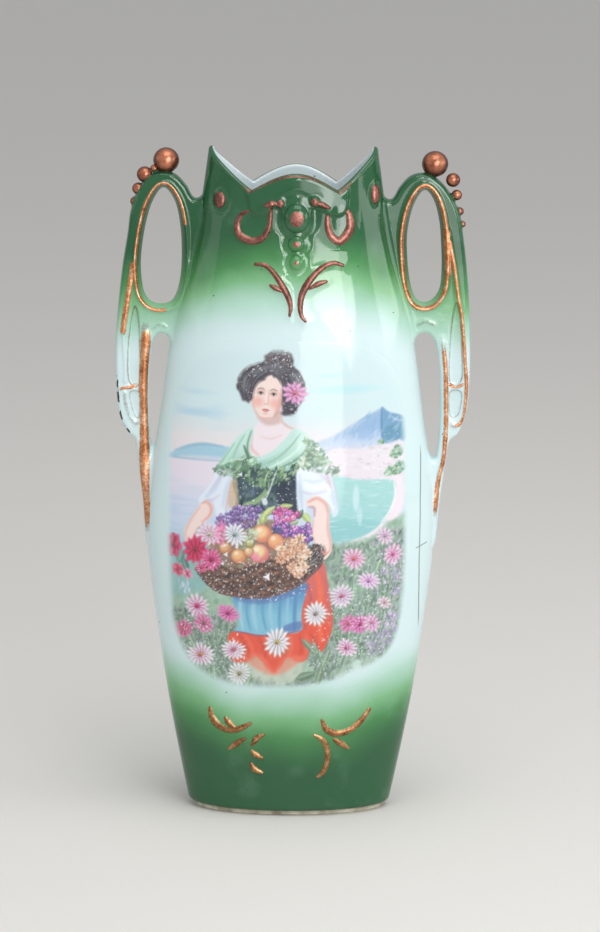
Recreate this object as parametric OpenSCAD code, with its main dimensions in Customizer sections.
// Oval two-handled mantel vase in slip-cast porcelain.
// A thin-walled body with a crown rim, two pierced handles with applied beads,
// applied relief scrolls and bosses on both faces, and a printed picture on the front.
// The origin is at the middle of the foot, with the front of the vase facing -Y.

/* [Body] */
// Height from the table to the tips of the two ears
vase_h = 360; // [320:5:400]
// Width of the body at its widest
body_w = 155; // [140:1:170]
// Depth of the body as a share of its width
depth_share = 0.5; // [0.46:0.01:0.6]
// Thickness of the wall below the crown
wall_t = 4; // [3:0.5:5]
// Thickness of the wall at the rim
rim_t = 3; // [2:0.5:3.5]
// Thickness of the floor
floor_t = 5; // [4:0.5:8]

/* [Foot] */
// Width of the unglazed ring that the vase stands on
foot_w = 7; // [5:0.5:10]
// Height of the foot ring
foot_h = 2.5; // [1.5:0.5:4]

/* [Crown] */
// Drop from the ear tips to the four dips of the rim
dip_drop = 21; // [14:1:26]
// Rise of the front and back lobes above the dips
lobe_rise = 9; // [5:0.5:11]
// Place of the dips as a share of the half width
dip_at = 0.49; // [0.4:0.01:0.55]
// Height of the soft point on each ear
ear_point = 2; // [0:0.5:4]
// Sideways offset of the lobes and the crest
crest_shift = 2; // [0:0.5:3]

/* [Handles] */
// Thickness of the handles from front to back
handle_d = 13; // [11:0.5:15]
// Thickness of the sunk pockets in each handle
pocket_d = 8; // [6:0.5:10]
// Size of the chamfer along the handles' edges
chamfer = 1.2; // [0.5:0.1:1.5]

/* [Ornament] */
// Height of the relief scrolls above the wall
scroll_h = 1.3; // [0.8:0.1:2]
// Thickness of the printed picture
print_t = 0.15; // [0.1:0.05:0.3]

/* [Hidden] */
SIDES = ["left", "right"];
FACES = ["front", "back"];
RELIEF = ["crest_boss", "crest_drops", "crest_side_bosses", "crest_scrolls", "leaf_scrolls",
          "base_scroll_left", "base_scroll_right", "ear_boss_left", "ear_boss_right"];
BEADS = [1:5];

// The outlines below are drawn for a vase 155 wide and 360 high, and stretched to the sizes above.
sx = body_w / 155;
sz = vase_h / 360;

// Half widths of the body as drawn, at equal steps from the foot to the ear tips.
half_widths = [53.8, 60, 65.6, 70.2, 74.4, 77.3, 76.2, 71.4, 67.3, 62.4, 54.4, 48.8, 44.6];
around = 64;             // points round the body
band_z = 0.83 * vase_h;  // rings are level up to here, and follow the crown above it
low_rings = 20;
crown_rings = 7;
lift = 0.12;             // gap between the wall and whatever is applied to it

green = [0.20, 0.42, 0.30];
pale = [0.84, 0.92, 0.86];
bisque = [0.80, 0.76, 0.68];
gilt = [0.62, 0.36, 0.18];
print_ink = [0.62, 0.60, 0.62];

function lerp(a, b, t) = a + (b - a) * t;

// One stretch of a smooth curve from b to c, with a before it and d after it.
function stretch(a, b, c, d, f) =
    b + 0.5 * f * ((c - a) + f * ((2 * a - 5 * b + 4 * c - d) + f * (3 * (b - c) + d - a)));

// A smooth open curve through the points p, with t from 0 to len(p) - 1.
function spline(p, t) =
    let (n = len(p) - 1,
         i = max(0, min(floor(t), n - 1)),
         before = i > 0 ? p[i - 1] : 2 * p[0] - p[1],
         after = i + 2 <= n ? p[i + 2] : 2 * p[n] - p[n - 1])
    stretch(before, p[i], p[i + 1], after, t - i);

// A smooth closed outline through the points p, with this many short edges to each.
function closed_curve(p, per) =
    let (n = len(p))
    [for (i = [0:n - 1], k = [0:per - 1])
        stretch(p[(i + n - 1) % n], p[i], p[(i + 1) % n], p[(i + 2) % n], k / per)];

function half_w(z) = sx * spline(half_widths, (len(half_widths) - 1) * z / vase_h);
function wall_at(z) = lerp(wall_t, rim_t, max(0, min(1, (z - band_z) / (vase_h - band_z))));

// Height of the rim at an angle round the body: two ears, and a lobe at the front and back.
function rim_z(angle) =
    let (middle = crest_shift / half_w(vase_h - dip_drop),
         c = abs(cos(angle) - middle) / (1 - middle * sign(cos(angle) - middle)),
         s = abs(sin(angle)),
         dip_z = vase_h - dip_drop,
         ear = (dip_drop - ear_point) * pow(max(0, c - dip_at) / (1 - dip_at), 1.1),
         point = ear_point * pow(max(0, 1 - s / 0.4), 1.5))
    c > dip_at ? dip_z + ear + point : dip_z + lobe_rise * cos(90 * c / dip_at);

// A point of the body's outside at an angle and a height, moved outwards by out.
function outer_point(angle, z, out = 0) =
    [(half_w(z) + out) * cos(angle), (half_w(z) * depth_share + out) * sin(angle), z];

// Rings of points round the body, at a list of heights: outside, and on the inner face of the wall.
function ring(heights, out = 0) =
    [for (i = [0:around - 1]) outer_point(360 * i / around, heights[i], out)];
function inner_ring(heights) =
    [for (i = [0:around - 1]) outer_point(360 * i / around, heights[i], -wall_at(heights[i]))];
function level(z) = [for (i = [0:around - 1]) z];
function crown(f) = [for (i = [0:around - 1]) lerp(band_z, rim_z(360 * i / around), f)];

// A closed surface through a stack of rings, drawn to a point at each end.
module skin(rings, first, last) {
    n = len(rings[0]);
    top = len(rings) - 1;
    end = 1 + n * len(rings);
    points = concat([first], [for (r = rings) each r], [last]);
    polyhedron(points, concat(
        [for (j = [0:n - 1]) [0, 1 + j, 1 + (j + 1) % n]],
        [for (i = [0:top - 1], j = [0:n - 1])
            let (low = 1 + i * n, next = (j + 1) % n)
            each [[low + j, low + n + next, low + next], [low + j, low + n + j, low + n + next]]],
        [for (j = [0:n - 1]) [end, 1 + top * n + (j + 1) % n, 1 + top * n + j]]),
        convexity = 6);
}

// The wall, its crown and its floor, as one casting that stands on the foot ring.
module vase_body() {
    floor_z = foot_h + floor_t;
    outside = concat([for (i = [0:low_rings]) ring(level(lerp(foot_h, band_z, i / low_rings)))],
                     [for (i = [1:crown_rings]) ring(crown(i / crown_rings))]);
    inside = concat([for (i = [crown_rings:-1:1]) inner_ring(crown(i / crown_rings))],
                    [for (i = [low_rings:-1:0]) inner_ring(level(lerp(floor_z, band_z, i / low_rings)))]);
    color(pale)
        skin(concat(outside, inside), [0, 0, foot_h], [0, 0, floor_z]);
}

// The unglazed ring that the vase stands on.
module foot_ring() {
    edge = ring(level(0), -0.4);
    hollow = ring(level(0), -foot_w);
    color(bisque)
        linear_extrude(foot_h)
            polygon([for (p = concat(edge, hollow)) [p.x, p.y]],
                    [[for (i = [0:around - 1]) i], [for (i = [0:around - 1]) around + i]]);
}

// The side of the body that the right handle is cut back to, as a block under the same surface.
module body_side() {
    reach = 5;
    inside_x = 20;
    angles = [for (i = [-reach:reach]) 360 * i / around];
    heights = [for (i = [6:low_rings]) lerp(foot_h, band_z, i / low_rings)];
    rings = [for (z = concat(heights, [vase_h]))
        concat([for (angle = angles) outer_point(angle, z, lift)],
               [for (side = [1, -1]) [inside_x, side * outer_point(angles[2 * reach], z).y, z]])];
    skin(rings, [inside_x + 10, 0, heights[0]], [inside_x + 10, 0, vase_h]);
}

// Outlines of each handle, as drawn: distance out from the axis, and height.
// The outer edge runs counterclockwise, and the two spaces through the handle run clockwise.
inner_edge = [[77.8, 342.2], [70.5, 346.3], [62.5, 345], [56.5, 339], [52.5, 332.5], [46, 331],
              [44, 318], [47, 300], [54, 270], [60, 240], [65, 210], [70, 170]];
left_edge = concat([[73, 150], [77, 146.5], [79.4, 166], [81, 178], [82.6, 192], [84, 202], [88, 206],
                    [92.3, 215], [93.9, 228], [94.4, 242], [94.3, 256], [93.5, 267], [92.1, 282],
                    [90.2, 298], [87.8, 313], [86.2, 325], [82.8, 334.4]], inner_edge);
right_edge = concat([[73, 150], [77.2, 147], [79.8, 166], [81.4, 178], [83.2, 192], [85, 202],
                     [89.6, 206.5], [93.6, 218], [95.2, 234], [95.3, 250], [94.8, 267], [93.8, 284],
                     [92.3, 300], [90.6, 313], [88.4, 325], [84.3, 334.2]], inner_edge);
left_loop = [[68.5, 337.5], [74, 331], [77.6, 320], [80, 306], [80.6, 294], [79, 282], [75, 276.6],
             [69, 275.4], [63.6, 277.8], [60.2, 286], [59, 300], [59.6, 316], [62.5, 330]];
right_loop = [[69.5, 337], [74.5, 332], [77.6, 321], [78.8, 308], [79.2, 295], [78.2, 284.5], [74, 278.4],
              [69, 277.2], [65, 280.5], [62.2, 290], [60.8, 304], [61, 316], [64, 329]];
left_slot = [[70, 259.2], [73.6, 255.5], [75.4, 246], [76.3, 230], [76, 212], [75.2, 199], [73.8, 190],
             [71, 196], [67, 212], [63, 230], [61, 246], [64, 256]];
right_slot = [[71, 260.5], [75.6, 256.5], [77.8, 248], [79, 234], [79.2, 216], [78.4, 201], [76.6, 192.5],
              [72, 197], [67, 212], [63, 230], [61, 246], [65, 257]];
left_pockets = [[[80.8, 234], [87, 234.5], [88, 248], [86.8, 262], [84.6, 273], [82.6, 273], [81, 262]],
                [[80.8, 216], [82.8, 213.5], [85.4, 219], [86.8, 228], [80.8, 228]]];
right_pockets = [[[83.6, 235], [90.4, 235], [91, 248], [90.2, 264], [88.8, 276], [86.2, 276], [84, 262]],
                 [[84, 216.5], [87, 214.5], [89.8, 218], [90.6, 229], [84, 229]]];

// Beads of each handle, as drawn: distance out from the axis, height, radius.
left_beads = [[67.3, 352, 6.9], [78.6, 344.4, 4.3], [82, 336.8, 3.3], [83.6, 330, 2.7],
              [73.6, 347.6, 2.1]];
right_beads = [[75, 351, 7], [84.7, 342.5, 3.8], [86.7, 334.5, 2.9], [88.4, 325.8, 2.3], [90, 319, 1.8]];

function to_size(p) = [for (q = p) [q[0] * sx, q[1] * sz]];

// The outline p with every point moved to its left by d.
function moved(p, d) =
    let (n = len(p))
    [for (i = [0:n - 1])
        let (along = p[(i + 1) % n] - p[(i + n - 1) % n])
        p[i] + d * [-along[1], along[0]] / norm(along)];

// A slice of a handle from y = low to y = high, with its edges drawn in.
// The outlines are its outer edge, the space in its loop and the slot below.
module slice(outlines, low, high, drawn_in) {
    edge = moved(to_size(closed_curve(outlines[0], 2)), drawn_in);
    upper = moved(to_size(closed_curve(outlines[1], 3)), drawn_in);
    lower = moved(to_size(closed_curve(outlines[2], 2)), drawn_in);
    a = len(edge);
    b = a + len(upper);
    translate([0, high, 0])
        rotate([90, 0, 0])
            linear_extrude(high - low)
                polygon(concat(edge, upper, lower),
                        [[for (i = [0:a - 1]) i], [for (i = [a:b - 1]) i],
                         [for (i = [b:b + len(lower) - 1]) i]]);
}

// The pockets sunk into one face of a handle, from y = low to y = high.
module sunk_pockets(pockets, low, high) {
    for (outline = pockets)
        translate([0, high, 0])
            rotate([90, 0, 0])
                linear_extrude(high - low)
                    polygon(to_size(outline));
}

module bead_ball(b, grow = 0) {
    translate([b[0] * sx, 0, b[1] * sz])
        sphere(r = b[2] + grow, $fn = 48);
}

// A handle on the right side, cut back to the body and with a seat for each of its beads.
module handle(outlines, pockets, beads) {
    side = handle_d / 2;
    inner = side - chamfer;
    difference() {
        union() {
            slice(outlines, -inner, inner, 0);
            slice(outlines, -side, -inner, chamfer);
            slice(outlines, inner, side, chamfer);
        }
        sunk_pockets(pockets, pocket_d / 2, side + 1);
        sunk_pockets(pockets, -side - 1, -pocket_d / 2);
        body_side();
        for (b = beads)
            bead_ball(b, 0.1);
    }
}

module left_handle() {
    color(green)
        mirror([1, 0, 0])
            handle([left_edge, left_loop, left_slot], left_pockets, left_beads);
}

module right_handle() {
    color(green)
        handle([right_edge, right_loop, right_slot], right_pockets, right_beads);
}

// Bead number i of the handle on one side: larger ones first, from the top down.
module bead(side, i) {
    color(gilt)
        if (side == "left")
            mirror([1, 0, 0])
                bead_ball(left_beads[i - 1]);
        else
            bead_ball(right_beads[i - 1]);
}

// A place on the front of the body from its distance across and its height, both as drawn.
function on_front(p, out = 0) =
    let (z = p[1] * sz,
         a = half_w(z),
         x = p[0] * sx,
         s = sqrt(max(0.01, 1 - pow(x / a, 2))),
         normal = [x / (a * a), -s / (depth_share * a), 0])
    [x, -a * depth_share * s, z] + out * normal / norm(normal);

// Half section of a scroll's rounded back: share of its half width, and share of its height.
scroll_back = [[-1, 0], [-0.6, 0.7], [0, 1], [0.6, 0.7], [1, 0]];

// Relief scroll: a rounded strip, tapered at both ends, along points [across, height].
module scroll(points, width) {
    n = len(points) - 1;
    steps = 3 * n;
    rings = [for (i = [0:steps])
        let (t = n * i / steps,
             along = spline(points, min(n, t + 0.05)) - spline(points, max(0, t - 0.05)),
             across = [along[1], -along[0]] / norm(along),
             swell = sqrt(sin(12 + 156 * i / steps)))
        [for (q = scroll_back)
            on_front(spline(points, t) + q[0] * swell * width / 2 * across, lift + q[1] * swell * scroll_h)]];
    skin(rings, on_front(points[0], lift + 0.2 * scroll_h), on_front(points[n], lift + 0.2 * scroll_h));
}

// Relief boss: an oval dome at [across, height], with half sizes across and up.
module boss(at, half, high) {
    n = 16;
    rings = [for (slope = [0, 25, 48, 70])
        [for (j = [0:n - 1])
            let (angle = 360 * j / n)
            on_front(at + cos(slope) * [half[0] * cos(angle), half[1] * sin(angle)],
                     lift + high * sin(slope))]];
    skin(rings, on_front(at, lift), on_front(at, lift + high));
}

function mirrored(points) = [for (p = points) [-p[0], p[1]]];
function crest(points) = [for (p = points) p + [crest_shift / sx, 0]];

// Scrolls of the crest, as drawn on the front, from the middle of the crest.
crest_left = [[-24.8, 328.4], [-29, 326], [-31.1, 321], [-30.4, 316.2], [-26.8, 313.4], [-22.3, 312.6],
              [-17.6, 314.5], [-14.8, 319.1], [-13.8, 324.3], [-13.4, 329]];
crest_right = [[16.1, 326.6], [16.5, 320.3], [18.3, 315.5], [22.2, 312.6], [25.9, 315.2], [28.3, 320],
               [27.8, 325.4], [26.4, 329]];
crest_dash = [[11.6, 331.8], [14.3, 332.6], [17.4, 331.4]];
leaf_left = [[-22, 300.6], [-16.7, 300.2], [-13, 297.6], [-9.6, 293.3], [-6.7, 288.8], [-4.1, 283.8],
             [-2.8, 278.6], [-3.4, 273.6]];
leaf_right = [[25, 299.8], [20, 301.4], [15.3, 300], [10.6, 296.4], [6.4, 291.4], [3.4, 285.8],
              [2.2, 279.9], [2.9, 274.2], [5.4, 270.8]];
leaflets = [[[-13, 289.6], [-11, 288.6], [-8.8, 286.8]], [[15.9, 291.8], [12, 291], [8.9, 289.2]]];

// Scrolls near the foot, as drawn on the front, from the middle of the body.
base_left = [[[-42.7, 60.5], [-41.3, 54.5], [-37.8, 50.2], [-32, 48.2], [-26.2, 49.7], [-20.2, 53.2]],
             [[-33.6, 55], [-32.6, 52.8], [-30.6, 51]],
             [[-23.2, 44.4], [-28, 41], [-32.6, 37.2]],
             [[-13.2, 47], [-17.2, 44.6], [-20.2, 40]],
             [[-20.4, 37.6], [-17.6, 35], [-14, 33.2]],
             [[-20.6, 30.4], [-18.4, 26.8], [-14, 24.8]]];
base_right = [[[17.2, 55.6], [19.8, 49.8], [25.6, 47.2], [32.2, 48.7], [38.2, 53.5], [43.2, 60.5]],
              [[23.4, 44.4], [27.5, 41.4], [32, 38.2]],
              [[13, 47], [17.8, 43.8], [20.4, 38], [20.4, 31.4], [18.4, 25.6], [15, 22.4]]];

module scrolls(paths, width) {
    for (path = paths)
        scroll(path, width);
}

// One piece of the relief, as it lies on the front of the vase.
module relief(part) {
    middle = crest_shift / sx;
    color(gilt) {
        if (part == "crest_boss")
            boss([middle, 325], [6.5, 7.9], 4);
        if (part == "crest_drops")
            for (b = [[311.5, 4.5, 4.4], [301.8, 3.6, 4.2]])
                boss([middle, b[0]], [b[1], b[2]], 2.6);
        if (part == "crest_side_bosses")
            for (side = [-1, 1])
                boss([middle + 8.4 * side, 332.4], [2.3, 2.6], 1.6);
        if (part == "crest_scrolls") {
            scrolls([crest(crest_left), crest(crest_right)], 3.2);
            scrolls([crest(crest_dash), crest(mirrored(crest_dash))], 2.4);
        }
        if (part == "leaf_scrolls") {
            scrolls([crest(leaf_left), crest(leaf_right)], 2.6);
            scrolls([for (leaf = leaflets) crest(leaf)], 2.2);
        }
        if (part == "base_scroll_left")
            scrolls(base_left, 3);
        if (part == "base_scroll_right")
            scrolls(base_right, 3);
        if (part == "ear_boss_left")
            boss([middle - 40.6, 333], [2.9, 4.4], 2);
        if (part == "ear_boss_right")
            boss([middle + 40, 336], [2.9, 4.8], 2);
    }
}

// The picture is printed on thin film and fired on. Its outline is a rounded square, stretched.
print_low = 70;
print_high = 261;
print_half = 66;
print_middle = -2;
module picture_transfer() {
    rows = 20;
    columns = 26;
    middle = (print_low + print_high) / 2;
    rise = (print_high - print_low) / 2;
    rings = [for (i = [1:rows - 1])
        let (t = -cos(180 * i / rows),
             half = print_half * pow(1 - pow(abs(t), 4), 1 / 4),
             row = [for (j = [0:columns])
                 [print_middle + half * sin(lerp(-90, 90, j / columns)), middle + rise * t]])
        concat([for (p = row) on_front(p, lift)],
               [for (j = [columns:-1:0]) on_front(row[j], lift + print_t)])];
    color(print_ink)
        skin(rings, on_front([print_middle, print_low], lift + print_t / 2),
             on_front([print_middle, print_high], lift + print_t / 2));
}

vase_body();
foot_ring();
left_handle();
right_handle();
picture_transfer();
for (side = SIDES, i = BEADS)
    bead(side, i);
for (part = RELIEF) {
    relief(part);
    mirror([0, 1, 0]) relief(part);
}
